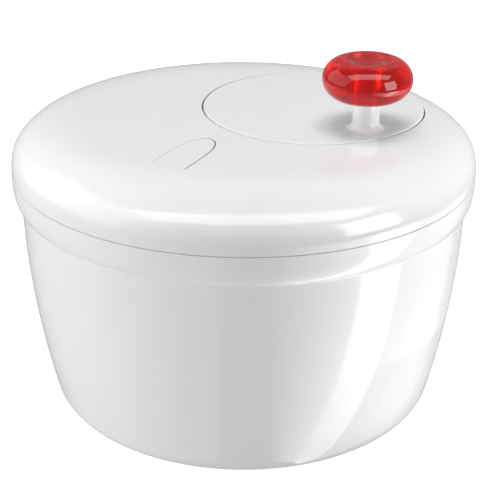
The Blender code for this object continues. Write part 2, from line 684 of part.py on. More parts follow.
def make_spring(turn):
    """A compression spring between the bracket and the underside of the key."""
    turns, per_turn, radius, wire = 4, 10, 0.0032, 0.00035
    low, high = BRACKET_HIGH_Z + GAP + wire, TOP_Z - WALL - GAP - wire
    curve = bpy.data.curves.new("brake_spring", "CURVE")
    curve.dimensions = "3D"
    curve.bevel_depth = wire
    curve.bevel_resolution = 1
    curve.use_fill_caps = True
    spline = curve.splines.new("POLY")
    count = turns * per_turn
    spline.points.add(count)
    for k, point in enumerate(spline.points):
        x, y = polar(radius, 2 * math.pi * k / per_turn)
        point.co = (SPRING_X + x, y, low + (high - low) * k / count, 1)
    add_object("brake_spring", curve, STEEL, turn=turn)


make_bowl()
make_pivot()
make_basket()
make_lid()
make_housing()
make_spindle()
make_gears()
make_disc()
make_knob()
make_drive_plate()
make_brake()
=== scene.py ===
"""Looks of the crank salad spinner, in metres, +Z up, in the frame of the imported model.

Every piece is remade with finer surfaces and rounded edges, each in the place of its CAD node.
"""

import json
import math

import bmesh
import bpy
from mathutils import Matrix, Vector


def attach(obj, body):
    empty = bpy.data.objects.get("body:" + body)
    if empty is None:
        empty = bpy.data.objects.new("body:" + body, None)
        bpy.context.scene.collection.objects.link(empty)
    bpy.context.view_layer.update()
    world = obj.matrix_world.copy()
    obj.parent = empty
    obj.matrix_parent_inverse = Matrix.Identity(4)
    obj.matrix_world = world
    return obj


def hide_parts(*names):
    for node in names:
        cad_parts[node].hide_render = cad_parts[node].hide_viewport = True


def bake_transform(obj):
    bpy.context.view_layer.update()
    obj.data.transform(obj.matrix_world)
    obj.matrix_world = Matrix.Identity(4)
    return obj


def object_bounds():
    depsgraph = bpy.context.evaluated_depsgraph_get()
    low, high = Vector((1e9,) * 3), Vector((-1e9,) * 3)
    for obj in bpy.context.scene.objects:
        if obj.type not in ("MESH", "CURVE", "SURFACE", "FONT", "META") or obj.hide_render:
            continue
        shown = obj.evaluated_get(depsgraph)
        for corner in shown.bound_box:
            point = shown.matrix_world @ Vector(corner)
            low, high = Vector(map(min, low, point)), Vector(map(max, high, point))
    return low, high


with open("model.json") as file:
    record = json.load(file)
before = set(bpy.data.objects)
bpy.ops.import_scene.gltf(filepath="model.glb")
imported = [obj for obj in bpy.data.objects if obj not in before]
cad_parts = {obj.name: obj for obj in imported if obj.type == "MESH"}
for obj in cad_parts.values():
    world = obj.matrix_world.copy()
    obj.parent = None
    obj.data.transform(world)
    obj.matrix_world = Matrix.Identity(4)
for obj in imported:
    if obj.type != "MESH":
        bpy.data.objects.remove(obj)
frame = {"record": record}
cad_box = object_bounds()

# ---------------------------------------------------------------- dimensions, as in the CAD
LID_RADIUS = cad_box[1][0]
SEAM_Z = 0.146
TOP_Z = 0.173
WALL = 0.0026
GAP = 0.0003  # left between two pieces that touch
SHOULDER_START, SHOULDER_POWER = 0.080, 2.8

DISC_RADIUS = 0.0652
DISC_ANGLE = math.radians(25.3)
DISC_AT = (0.0451 * math.cos(DISC_ANGLE), 0.0451 * math.sin(DISC_ANGLE))
DISC_TOP_Z = TOP_Z + 0.0005
DISC_UNDER_Z = DISC_TOP_Z - 0.0028
STEM_ANGLE = math.radians(-52.4)
STEM_AT = (DISC_AT[0] + 0.0462 * math.cos(STEM_ANGLE), DISC_AT[1] + 0.0462 * math.sin(STEM_ANGLE))
STEM_RADIUS = 0.0077
KNOB_RADIUS, KNOB_HALF_HEIGHT = 0.0255, 0.0113
KNOB_CREST_RADIUS, KNOB_CREST_Z, KNOB_DISH_DEPTH = 0.0140, 0.2133, 0.0026
BRAKE_ANGLE = math.radians(-116.5)

KEY_HALF_WIDTH, KEY_TIP, KEY_SHOULDER, KEY_ROOT = 0.0105, 0.0420, 0.0660, 0.0890
HINGE_X, HINGE_Z = 0.0850, 0.1665
SPRING_X = 0.0745
BRACKET_LOW, BRACKET_HIGH = 0.1585, 0.1605
BRACKET_SCREW_X, BRACKET_SCREW_Y = 0.0800, 0.0215
HOUSING_SCREW_OFFSET = 0.0750
RUN = 0.0002  # radial play of a turning fit

# ---------------------------------------------------------------- mesh tools


def rounded(points, facets=4, closed=False):
    """Replaces each corner (r, z, radius) of a profile by an arc; a corner without a radius stays."""
    made = []
    count = len(points)
    for i, point in enumerate(points):
        here = Vector(point[:2])
        radius = point[2] if len(point) > 2 else 0
        inner = closed or 0 < i < count - 1
        if not radius or not inner:
            made.append(tuple(here))
            continue
        before = Vector(points[i - 1][:2]) - here
        after = Vector(points[(i + 1) % count][:2]) - here
        corner = before.angle(after)
        reach = min(radius / math.tan(corner / 2), before.length * 0.49, after.length * 0.49)
        radius = reach * math.tan(corner / 2)
        start, end = here + before.normalized() * reach, here + after.normalized() * reach
        inwards = (before.normalized() + after.normalized()).normalized()
        centre = here + inwards * (radius / math.sin(corner / 2))
        first, last = start - centre, end - centre
        sweep = first.angle_signed(last)
        for k in range(facets + 1):
            angle = -sweep * k / facets
            c, s = math.cos(angle), math.sin(angle)
            made.append((centre.x + first.x * c - first.y * s, centre.y + first.x * s + first.y * c))
    return made


def arc(centre, radii, first, last, count):
    angles = [math.radians(first + (last - first) * k / count) for k in range(count + 1)]
    return [(centre[0] + radii[0] * math.cos(a), centre[1] + radii[1] * math.sin(a)) for a in angles]


def revolve(name, profile, steps=192, at=(0, 0), closed=False):
    """Turns (radius, z) points, listed down the outer side, about a vertical axis."""
    cage = bmesh.new()
    rings = []
    for radius, z in profile:
        if radius < 1e-7:
            rings.append([cage.verts.new((at[0], at[1], z))] * steps)
            continue
        turn = [2 * math.pi * k / steps for k in range(steps)]
        rings.append([cage.verts.new((*polar(radius, a, at), z)) for a in turn])
    pairs = list(zip(rings, rings[1:]))
    if closed:
        pairs.append((rings[-1], rings[0]))
    for upper, lower in pairs:
        for k in range(steps):
            n = (k + 1) % steps
            corners = []
            for vertex in (upper[k], lower[k], lower[n], upper[n]):
                if vertex not in corners:
                    corners.append(vertex)
            if len(corners) > 2:
                cage.faces.new(corners)
    return as_object(name, cage)


def as_object(name, cage):
    mesh = bpy.data.meshes.new(name)
    cage.to_mesh(mesh)
    cage.free()
    obj = bpy.data.objects.new(name, mesh)
    bpy.context.scene.collection.objects.link(obj)
    return obj


def extrude(name, outline, low, high, at=(0, 0), turn=0.0, holes=()):
    """A plate with a closed outline and holes, as a filled curve made into a welded mesh."""
    curve = bpy.data.curves.new(name, "CURVE")
    curve.dimensions = "2D"
    curve.fill_mode = "BOTH"
    curve.extrude = (high - low) / 2
    for loop in (outline, *holes):
        spline = curve.splines.new("POLY")
        spline.points.add(len(loop) - 1)
        for point, (x, y) in zip(spline.points, loop):
            point.co = (x, y, 0, 1)
        spline.use_cyclic_u = True
    maker = bpy.data.objects.new(name, curve)
    bpy.context.scene.collection.objects.link(maker)
    maker.location = (*at, (low + high) / 2)
    maker.rotation_euler.z = turn
    bpy.context.view_layer.update()
    graph = bpy.context.evaluated_depsgraph_get()
    mesh = bpy.data.meshes.new_from_object(maker.evaluated_get(graph))
    mesh.transform(maker.matrix_world)
    bpy.data.objects.remove(maker)
    cage = bmesh.new()
    cage.from_mesh(mesh)
    bmesh.ops.remove_doubles(cage, verts=cage.verts, dist=1e-6)
    bpy.data.meshes.remove(mesh)
    return as_object(name, cage)


def block(name, low, high, turn=0.0):
    cage = bmesh.new()
    bmesh.ops.create_cube(cage, size=1)
    for vertex in cage.verts:
        vertex.co = Vector((a + b) / 2 + c * (b - a) for a, b, c in zip(low, high, vertex.co))
    bmesh.ops.rotate(cage, verts=cage.verts, cent=(0, 0, 0), matrix=Matrix.Rotation(turn, 3, "Z"))
    return as_object(name, cage)


def cross_rod(name, radius, x, z, half_length, turn, steps=32):
    """A rod across the local X of a frame turned about Z."""
    cage = bmesh.new()
    bmesh.ops.create_cone(
        cage, cap_ends=True, segments=steps, radius1=radius, radius2=radius, depth=2 * half_length
    )
    for vertex in cage.verts:
        across, up, along = vertex.co
        vertex.co = (x + across, -along, z + up)
    bmesh.ops.recalc_face_normals(cage, faces=cage.faces)
    bmesh.ops.rotate(cage, verts=cage.verts, cent=(0, 0, 0), matrix=Matrix.Rotation(turn, 3, "Z"))
    return as_object(name, cage)


def apply_modifiers(obj):
    bpy.context.view_layer.update()
    graph = bpy.context.evaluated_depsgraph_get()
    mesh = bpy.data.meshes.new_from_object(obj.evaluated_get(graph))
    old = obj.data
    obj.modifiers.clear()
    obj.data = mesh
    bpy.data.meshes.remove(old)
    return obj


def boolean(target, tools, operation):
    for tool in tools:
        modifier = target.modifiers.new("boolean", "BOOLEAN")
        modifier.operation = operation
        modifier.object = tool
    apply_modifiers(target)
    for tool in tools:
        bpy.data.objects.remove(tool)
    return target


def soften(obj, width, segments=2, angle=40):
    """Rounds the sharp edges of a piece."""
    bevel = obj.modifiers.new("soften", "BEVEL")
    bevel.width = width
    bevel.segments = segments
    bevel.limit_method = "ANGLE"
    bevel.angle_limit = math.radians(angle)
    bevel.use_clamp_overlap = True
    return apply_modifiers(obj)


def polar(radius, angle, centre=(0, 0)):
    return centre[0] + radius * math.cos(angle), centre[1] + radius * math.sin(angle)


def rod(name, radius, low, high, at=(0, 0), steps=48):
    return revolve(name, [(0, high), (radius, high), (radius, low), (0, low)], steps, at)


# ---------------------------------------------------------------- materials


def link(tree, out, into):
    tree.links.new(out, into)


def surface(name, colour, other, roughness, spread, bump=0.0, grain=900.0, **shader_values):
    """A moulded or metal surface: two close colours, uneven roughness and a fine relief."""
    material = bpy.data.materials.new(name)
    material.use_nodes = True
    tree = material.node_tree
    shader = tree.nodes["Principled BSDF"]
    place = tree.nodes.new("ShaderNodeTexCoord")
    broad = tree.nodes.new("ShaderNodeTexNoise")
    broad.inputs["Scale"].default_value = 14.0
    broad.inputs["Detail"].default_value = 4.0
    link(tree, place.outputs["Object"], broad.inputs["Vector"])
    tone = tree.nodes.new("ShaderNodeValToRGB")
    tone.color_ramp.elements[0].position = 0.35
    tone.color_ramp.elements[1].position = 0.65
    tone.color_ramp.elements[0].color = (*colour, 1)
    tone.color_ramp.elements[1].color = (*other, 1)
    link(tree, broad.outputs["Fac"], tone.inputs["Fac"])
    link(tree, tone.outputs["Color"], shader.inputs["Base Color"])
    fine = tree.nodes.new("ShaderNodeTexNoise")
    fine.inputs["Scale"].default_value = grain
    fine.inputs["Detail"].default_value = 3.0
    link(tree, place.outputs["Object"], fine.inputs["Vector"])
    uneven = tree.nodes.new("ShaderNodeMapRange")
    uneven.inputs["To Min"].default_value = roughness - spread
    uneven.inputs["To Max"].default_value = roughness + spread
    link(tree, broad.outputs["Fac"], uneven.inputs["Value"])
    link(tree, uneven.outputs["Result"], shader.inputs["Roughness"])
    if bump:
        relief = tree.nodes.new("ShaderNodeBump")
        relief.inputs["Strength"].default_value = bump
        relief.inputs["Distance"].default_value = 0.0001
        link(tree, fine.outputs["Fac"], relief.inputs["Height"])
        link(tree, relief.outputs["Normal"], shader.inputs["Normal"])
    for socket, value in shader_values.items():
        shader.inputs[socket.replace("_", " ")].default_value = value
    return material


white_gloss = surface(
    "white_gloss", (0.80, 0.80, 0.805), (0.815, 0.815, 0.82), 0.10, 0.03, 0.02, 300, IOR=1.52
)
white_satin = surface(
    "white_satin", (0.76, 0.76, 0.755), (0.79, 0.79, 0.785), 0.38, 0.06, 0.25, 1500, IOR=1.49
)
acetal = surface("acetal", (0.70, 0.69, 0.64), (0.74, 0.73, 0.68), 0.34, 0.05, 0.2, 1200, IOR=1.48)
rubber = surface("rubber", (0.12, 0.12, 0.125), (0.16, 0.16, 0.165), 0.75, 0.08, 0.5, 2200)
steel = surface("steel", (0.62, 0.62, 0.63), (0.70, 0.70, 0.71), 0.24, 0.07, 0.2, 2500, Metallic=1.0)
red_clear = surface(
    "red_clear", (0.74, 0.003, 0.003), (0.68, 0.002, 0.002), 0.03, 0.015, 0.01, 200,
    IOR=1.49, Specular_IOR_Level=0.3, Transmission_Weight=0.7,
)
MATERIALS = {
    "white_gloss": white_gloss,
    "white_satin": white_satin,
    "acetal": acetal,
    "rubber": rubber,
    "steel": steel,
    "red_clear": red_clear,
}
SLOT_OF = {part["node"]: part["material_slot"] for part in frame["record"]["subparts"]}
BODY_OF = {node: body for body, members in frame["record"]["behaviour"]["bodies"].items() for node in members}


def settle(obj, node, smooth_angle=35):
    """Gives a finished piece its material, its shading and its body, and hides the CAD node it stands for."""
    mesh = obj.data
    mesh.materials.clear()
    mesh.materials.append(MATERIALS[SLOT_OF[node]])
    mesh.shade_smooth()
    mesh.set_sharp_from_angle(angle=math.radians(smooth_angle))
    obj.modifiers.new("even_shading", "WEIGHTED_NORMAL").keep_sharp = True
    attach(obj, BODY_OF[node])
    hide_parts(node)
    return obj


# ---------------------------------------------------------------- bowl

FLOOR_Z = 0.0063
CREASE_RADIUS, CREASE_Z = 0.1303, 0.1281
CORNER_RADIUS = 0.0135
RIM_INNER = 0.1316
RING_INNER, RING_OUTER = 0.0925, 0.0980


def bowl_wall(inset, low_z, wall_count, corner_count):
    start, middle, end = (CREASE_RADIUS, CREASE_Z), (0.1298, 0.0695), (0.1156, 0.0104)
    side = []
    for k in range(wall_count + 1):
        t = k / wall_count
        weights = (1 - t) ** 2, 2 * (1 - t) * t, t * t
        side.append([sum(w * p[axis] for w, p in zip(weights, (start, middle, end))) for axis in (0, 1)])
    lean = math.atan2(middle[0] - end[0], middle[1] - end[1])
    centre = (end[0] - CORNER_RADIUS * math.cos(lean), end[1] + CORNER_RADIUS * math.sin(lean))
    side += arc(centre, (CORNER_RADIUS, CORNER_RADIUS), -math.degrees(lean), -90, corner_count)[1:]
    squeeze = (CREASE_Z - low_z) / (CREASE_Z - (centre[1] - CORNER_RADIUS))
    return [(r - inset, CREASE_Z - (CREASE_Z - z) * squeeze) for r, z in side]


def make_bowl():
    seam = SEAM_Z - 0.00012
    foot = 0.0008
    spigot = 0.0040
    points = [(0, 0.0130), (spigot, 0.0130, 0.0005), (spigot, FLOOR_Z, 0.0006)]
    points += list(reversed(bowl_wall(WALL, FLOOR_Z, 28, 10)))
    points += [(RIM_INNER, 0.1380, 0.002), (RIM_INNER, seam, 0.0005), (LID_RADIUS, seam, 0.0004)]
    bead_z = SEAM_Z - 0.005
    points += arc((CREASE_RADIUS, bead_z), (LID_RADIUS - CREASE_RADIUS, bead_z - CREASE_Z), 0, -78, 12)
    wall = bowl_wall(0, foot, 30, 12)
    points += [(wall[0][0] + 0.0001, wall[0][1] - 0.0006, 0.0012)] + wall[1:]
    points += [(RING_OUTER + GAP, foot, 0.0002), (RING_OUTER + GAP, 0.0028), (RING_INNER - GAP, 0.0028)]
    points += [(RING_INNER - GAP, foot, 0.0002), (0.0905, foot, 0.0004), (0.0885, 0.0035, 0.0008)]
    points += [(0, 0.0035)]
    settle(revolve("bowl_moulding", rounded(points)), "bowl", 50)
    ring = [(RING_OUTER, 0.0025, 0.0003), (RING_OUTER, 0, 0.0008)]
    ring += [(RING_INNER, 0, 0.0008), (RING_INNER, 0.0025, 0.0003)]
    settle(revolve("foot_ring", rounded(ring, closed=True), closed=True), "non_slip_ring", 50)


# ---------------------------------------------------------------- lid


def shoulder(inset, low_z, count):
    width = LID_RADIUS - SHOULDER_START - inset
    height = TOP_Z - inset - low_z
    power = 2 / SHOULDER_POWER
    angles = [math.pi / 2 * k / count for k in range(count + 1)]
    return [
        (SHOULDER_START + width * math.sin(a) ** power, low_z + height * max(math.cos(a), 0) ** power)
        for a in angles
    ]


def key_outline(left=0, right=0, tip=0, root=0, facets=36):
    """The brake key in its local frame, or its opening, inset by a gap on each side."""
    half, centre = KEY_HALF_WIDTH - (left + right) / 2, (left - right) / 2
    reach = KEY_SHOULDER - KEY_TIP - tip
    turn = [math.radians(90 + 180 * k / facets) for k in range(facets + 1)]
    rounded_tip = [(KEY_SHOULDER + reach * math.cos(a), centre + half * math.sin(a)) for a in turn]
    end = KEY_ROOT - root
    return rounded_tip + [(end, centre - half), (end, centre + half)]


def boss_top(at):
    share = max(0, (math.hypot(*at) - SHOULDER_START) / (LID_RADIUS - SHOULDER_START))
    return SEAM_Z + (TOP_Z - SEAM_Z) * (1 - share**SHOULDER_POWER) ** (1 / SHOULDER_POWER) - WALL / 2


def turn_point(x, y):
    c, s = math.cos(BRAKE_ANGLE), math.sin(BRAKE_ANGLE)
    return x * c - y * s, x * s + y * c


def make_lid():
    low = SEAM_Z + 0.00012
    under = TOP_Z - WALL
    rib_outer, rib_inner, rib_z = RIM_INNER - 0.0005, RIM_INNER - 0.0025, SEAM_Z - 0.0060
    outside = shoulder(0, low, 44)
    outside[-1] = (*outside[-1], 0.0004)
    points = [(0, TOP_Z)] + outside
    points += [(rib_outer, low), (rib_outer, rib_z, 0.0005), (rib_inner, rib_z, 0.0005), (rib_inner, low)]
    points += [(r, z) for r, z in reversed(shoulder(WALL, low, 30)) if r < rib_inner - 0.0002]
    points += [(0, under)]
    lid = revolve("lid_moulding", rounded(points))
    bosses, holes = [], []
    for k in range(4):
        at = polar(HOUSING_SCREW_OFFSET, DISC_ANGLE + math.radians(45 + 90 * k), DISC_AT)
        bosses.append(rod("boss", 0.0040, 0.1588, boss_top(at), at, 32))
        holes.append(rod("hole", 0.0016, 0.1578, 0.1673, at, 20))
    for side in (-1, 1):
        at = turn_point(BRACKET_SCREW_X, side * BRACKET_SCREW_Y)
        bosses.append(rod("boss", 0.0040, 0.1608, boss_top(at), at, 32))
        holes.append(rod("hole", 0.0016, 0.1598, 0.1688, at, 20))
    boolean(lid, bosses, "UNION")
    holes.append(rod("disc_opening", DISC_RADIUS + 0.0008, 0.1660, 0.1760, DISC_AT, 192))
    holes.append(extrude("key_opening", key_outline(), 0.1660, 0.1760, turn=BRAKE_ANGLE))
    boolean(lid, holes, "DIFFERENCE")
    settle(lid, "lid_shell", 30)


def make_key():
    """The brake key, rounded along its seam, with its barrel, neck and pad post below."""
    under = TOP_Z - WALL
    outline = key_outline(left=0.0002, right=0.0007, tip=0.0007, root=0.00003)
    key = extrude("key_moulding", outline, under, TOP_Z, turn=BRAKE_ANGLE)
    soften(key, 0.0004, 2, 60)
    barrel = cross_rod("barrel", 0.0032, HINGE_X, HINGE_Z, 0.0098, BRAKE_ANGLE)
    neck = block("neck", (0.0822, -0.0097, HINGE_Z), (0.0872, 0.0097, under + 0.001), BRAKE_ANGLE)
    post = block("post", (0.0590, -0.0050, 0.1596), (0.0650, 0.0050, under + 0.001), BRAKE_ANGLE)
    boolean(key, [barrel, neck, post], "UNION")
    boolean(key, [cross_rod("pin_hole", 0.0017, HINGE_X, HINGE_Z, 0.0150, BRAKE_ANGLE)], "DIFFERENCE")
    settle(key, "brake_key", 30)


# ---------------------------------------------------------------- crank disc and knob


def make_disc():
    edge = 0.0011
    points = [(0, DISC_TOP_Z), (DISC_RADIUS, DISC_TOP_Z, edge), (DISC_RADIUS, DISC_UNDER_Z, 0.0003)]
    points += [(0.0040, DISC_UNDER_Z, 0.0006), (0.0040, 0.1568, 0.0003), (0, 0.1568)]
    disc = revolve("disc_moulding", rounded(points, 6), 192, DISC_AT)
    flare = 0.0042
    points = [(0, 0.2050), (0.0045, 0.2050, 0.0004), (0.0045, 0.1909), (STEM_RADIUS, 0.1909, 0.0006)]
    points += arc((STEM_RADIUS + flare, DISC_TOP_Z + flare), (flare, flare), 180, 264, 12)
    points += [(STEM_RADIUS + flare, DISC_TOP_Z - 0.0010), (0, DISC_TOP_Z - 0.0010)]
    boolean(disc, [revolve("stem", rounded(points), 96, STEM_AT)], "UNION")
    holes = [rod("hole", 0.0016, 0.1550, 0.1670, DISC_AT, 24)]
    holes.append(rod("hole", 0.0016, 0.1940, 0.2070, STEM_AT, 24))
    boolean(disc, holes, "DIFFERENCE")
    settle(disc, "crank_disc", 30)


def knob_dish(radius):
    """Height of the knob's dished top, level at its centre and at its crest."""
    low = KNOB_CREST_Z - KNOB_DISH_DEPTH
    return low + KNOB_DISH_DEPTH * (1 - math.cos(math.pi * radius / KNOB_CREST_RADIUS)) / 2


def make_knob():
    """A glossy flattened ball with one smooth dish, whose middle is the cap over the screw."""
    seat, cap_radius, fit = 0.2047, 0.0124, 0.00002
    crest, middle = KNOB_CREST_RADIUS, KNOB_CREST_Z - KNOB_HALF_HEIGHT
    outside = arc((crest, middle), (KNOB_RADIUS - crest, KNOB_HALF_HEIGHT), 90, -74, 48)
    inner = [cap_radius + fit + (crest - cap_radius - fit) * k / 4 for k in range(4)]
    points = [(cap_radius + fit, 0.2100)] + [(r, knob_dish(r)) for r in inner] + outside
    under = middle - KNOB_HALF_HEIGHT
    points += [(0.0092, under + 0.0002), (0.0063, under + 0.0004, 0.0004)]
    points += [(0.0063, seat), (0.0105, seat), (0.0105, 0.2100)]
    body = revolve("knob_shell", rounded(points, closed=True), 160, STEM_AT, closed=True)
    shell = settle(body, "knob_body", 40)
    cap = [(cap_radius * k / 24, knob_dish(cap_radius * k / 24)) for k in range(25)]
    cap += [(cap_radius, 0.2103), (0.0100, 0.2103), (0.0090, 0.2091, 0.0003), (0, 0.2087)]
    lens = settle(revolve("knob_lens", rounded(cap), 128, STEM_AT), "knob_cap", 40)
    shell.visible_diffuse = lens.visible_diffuse = False  # keeps its red off the white pieces


# ---------------------------------------------------------------- basket

SLOTS, SLOT_WIDTH, BASKET_WALL = 24, 0.003, 0.002
LUG_COUNT = 4


def basket_rows():
    """(radius, z, kind) up the outer skin, with a row close to each end of the slots.

    The kind says what the band above that row is.
    """
    floor = 0.0180
    return [
        (0.0120, floor, "solid"),
        (0.0130, floor, "solid"),
        (0.0335, floor, "solid"),
        (0.0360, floor, "slot"),
        (0.0385, floor, "slot"),
        (0.0630, floor, "slot"),
        (0.0875, floor, "slot"),
        (0.0900, floor, "solid"),
        (0.0990, floor + 0.0010, "solid"),
        (0.1045, floor + 0.0045, "solid"),
        (0.1072, floor + 0.0110, "solid"),
        (0.1083, 0.0325, "solid"),
        (0.1085, 0.0350, "slot"),
        (0.1088, 0.0375, "slot"),
        (0.1103, 0.0525, "slot"),
        (0.1117, 0.0675, "slot"),
        (0.1120, 0.0700, "solid"),
        (0.1123, 0.0730, "solid"),
        (0.1126, 0.0760, "slot"),
        (0.1129, 0.0785, "slot"),
        (0.1142, 0.0930, "slot"),
        (0.1157, 0.1075, "slot"),
        (0.1159, 0.1100, "solid"),
        (0.1162, 0.1125, "solid"),
        (0.1182, 0.1330, "solid"),
        (0.1184, 0.1350, "notch"),
        (0.1190, 0.1405, "notch"),
        (0.1218, 0.1418, "end"),
    ]


def make_basket():
    """A grid wrapped round the axis without its slots, thickened and rounded like a moulding."""
    rows = basket_rows()
    pitch = 2 * math.pi / SLOTS
    cage = bmesh.new()
    grid = []
    for radius, z, _ in rows:
        half = min(SLOT_WIDTH / 2 / radius, 0.3 * pitch)
        turns = [(k // 2) * pitch + (half if k % 2 else -half) for k in range(2 * SLOTS)]
        grid.append([cage.verts.new((*polar(radius, turn), z)) for turn in turns])
    for (low, high), (_, _, kind) in zip(zip(grid, grid[1:]), rows):
        for k in range(2 * SLOTS):
            slot = kind == "slot" and k % 2 == 0
            notch = kind == "notch" and k % 2 == 1 and (k // 2) % (SLOTS // LUG_COUNT) == 0
            if not slot and not notch:
                n = (k + 1) % (2 * SLOTS)
                cage.faces.new([low[k], low[n], high[n], high[k]])
    bmesh.ops.delete(cage, geom=[v for v in cage.verts if not v.link_faces], context="VERTS")
    basket = as_object("basket_moulding", cage)
    wall = basket.modifiers.new("wall", "SOLIDIFY")
    wall.thickness = BASKET_WALL
    wall.offset = -1
    wall.use_even_offset = True
    smooth = basket.modifiers.new("rounding", "SUBSURF")
    smooth.levels = smooth.render_levels = 2
    apply_modifiers(basket)
    settle(basket, "basket", 80)


# ---------------------------------------------------------------- inner turned pieces


def tube(inner, outer, low, high, edge=0.0002):
    return [(outer, high, edge), (outer, low, edge), (inner, low, edge), (inner, high, edge)]


def turn_piece(node, profile, at=(0, 0), ring=False):
    settle(revolve(node + "_turned", rounded(profile, 3, ring), 64, at, ring), node)


def make_screw(node, at, head_radius, head_low, head_high, shank_radius, tip_z):
    """A pan head screw driven from below, with a cross recess."""
    profile = [(0, tip_z), (shank_radius * 0.4, tip_z), (shank_radius, tip_z - 0.0012)]
    profile += [(shank_radius, head_high), (head_radius, head_high, 0.0002)]
    profile += [(head_radius, head_low, 0.0007), (0, head_low)]
    screw = revolve(node + "_turned", rounded(profile), 40, at)
    reach, deep = head_radius * 0.52, head_low + 0.0009
    tools = []
    for turn in (0.4, 0.4 + math.pi / 2):
        tool = block("recess", (-reach, -0.00035, head_low - 0.001), (reach, 0.00035, deep), turn)
        tool.location = (*at, 0)
        tools.append(tool)
    boolean(screw, tools, "DIFFERENCE")
    settle(screw, node)


def make_turned_pieces():
    pin = 0.0027
    turn_piece("pivot_foot", [
        (0, 0.0250), (pin, 0.0250, 0.0007), (pin, 0.0160, 0.0003), (0.0080, 0.0160, 0.0015),
        (0.0090, 0.0140, 0.0010), (0.0090, FLOOR_Z + GAP), (0.0043, FLOOR_Z + GAP),
        (0.0043, 0.0133), (0, 0.0133),
    ])
    turn_piece("pivot_clip", tube(pin + RUN, 0.0060, 0.0223, 0.0233), ring=True)
    turn_piece("basket_bush", [
        (0.0130, 0.0220, 0.0003), (0.0130, 0.0203), (0.0117, 0.0203), (0.0117, 0.0177), (0.0140, 0.0177),
        (0.0140, 0.0163, 0.0003), (pin + RUN, 0.0163, 0.0002), (pin + RUN, 0.0220, 0.0002),
    ], ring=True)
    turn_piece("spindle_bush", [
        (0.0062, 0.1613, 0.0002), (0.0062, 0.1603), (0.0043, 0.1603), (0.0043, 0.1550),
        (0.0028 + RUN, 0.1550, 0.0002), (0.0028 + RUN, 0.1613, 0.0002),
    ], ring=True)
    turn_piece("driver_washer", tube(0.0016, 0.0065, 0.1443, 0.1453), ring=True)
    make_screw("driver_screw", (0, 0), 0.0040, 0.1420, 0.1440, 0.0012, 0.1530)
    turn_piece("disc_bush", tube(0.0040 + RUN, 0.0056, 0.1583, 0.1690), DISC_AT, ring=True)
    turn_piece("disc_washer", tube(0.0016, 0.0068, 0.1554, 0.1562), DISC_AT, ring=True)
    make_screw("disc_screw", DISC_AT, 0.0034, 0.1534, 0.1551, 0.0013, 0.1660)
    turn_piece("knob_sleeve", tube(0.0045 + RUN, 0.0060, 0.1913, 0.2044), STEM_AT, ring=True)
    turn_piece("knob_washer", tube(0.0016, 0.0078, 0.2053, 0.2061), STEM_AT, ring=True)
    turn_piece("knob_screw", [
        (0, 0.2083), (0.0012, 0.2077), (0.0030, 0.2084, 0.0002), (0.0036, 0.2078, 0.0003), (0.0036, 0.2064),
        (0.0013, 0.2064), (0.0013, 0.1955), (0, 0.1945),
    ], STEM_AT)


# ---------------------------------------------------------------- gear housing, spindle and gears

HOUSING_LOW, HOUSING_FLOOR = 0.1565, 0.1585
GEAR_LOW, GEAR_HIGH = 0.1618, 0.1680


def make_housing():
    outer, rim, low, floor = 0.0695, 0.1662, HOUSING_LOW, HOUSING_FLOOR
    points = [(outer, rim, 0.0005), (outer, low, 0.0012), (0.0043, low), (0.0043, floor - 0.0005)]
    points += [(0.0058, floor - 0.0005), (0.0058, 0.1690, 0.0003)]
    points += [(0.0083, 0.1690, 0.0004), (0.0083, floor, 0.0006)]
    points += [(outer - 0.0020, floor, 0.0008), (outer - 0.0020, rim, 0.0005)]
    housing = revolve("housing_moulding", rounded(points, closed=True), 160, DISC_AT, closed=True)
    added, removed = [rod("tube", 0.0065, 0.1550, 0.1600)], [rod("bore", 0.0046, 0.1540, 0.1620)]
    for k in range(4):
        angle = DISC_ANGLE + math.radians(45 + 90 * k)
        at = polar(HOUSING_SCREW_OFFSET, angle, DISC_AT)
        ear = block("ear", (0.0685, -0.0055, low + 0.00002), (0.0805, 0.0055, floor - 0.00002))
        soften(ear, 0.0006)
        ear.location = (*DISC_AT, 0)
        ear.rotation_euler.z = angle
        added.append(ear)
        removed.append(rod("hole", 0.0017, low - 0.001, floor + 0.001, at, 24))
        make_screw(f"housing_screw_{k + 1}", at, 0.0031, low - GAP - 0.0020, low - GAP, 0.0013, 0.1668)
    boolean(housing, added, "UNION")
    boolean(housing, removed, "DIFFERENCE")
    settle(housing, "gear_housing")


def make_spindle():
    spindle = rod("spindle_turned", 0.0028, 0.1549, GEAR_LOW - 0.0001)
    boolean(spindle, [rod("hexagon", 0.0025, 0.1456, GEAR_HIGH, steps=6)], "UNION")
    boolean(spindle, [rod("tapping", 0.0015, 0.1446, 0.1540, steps=24)], "DIFFERENCE")
    settle(spindle, "spindle")


def involute(angle):
    return math.tan(angle) - angle


def tooth_half_angle(radius, pitch_radius, teeth, widening):
    base = pitch_radius * math.cos(math.radians(20))
    here = math.acos(min(1.0, base / max(radius, base)))
    return (math.pi / teeth + widening / pitch_radius) / 2 + involute(math.radians(20)) - involute(here)


def gear_outline(teeth, module, root, tip, widening, facets):
    """An external gear's outline, with a tooth on the line from the disc's axis to the lid's."""
    outline, pitch_radius = [], module * teeth / 2
    radii = [pitch_radius + module * (root + (tip - root) * k / facets) for k in range(facets + 1)]
    for k in range(teeth):
        middle = DISC_ANGLE + math.pi + 2 * math.pi * k / teeth
        halves = [(r, tooth_half_angle(r, pitch_radius, teeth, widening)) for r in radii]
        outline += [polar(r, middle - half) for r, half in halves]
        outline += [polar(r, middle + half) for r, half in reversed(halves)]
    return outline


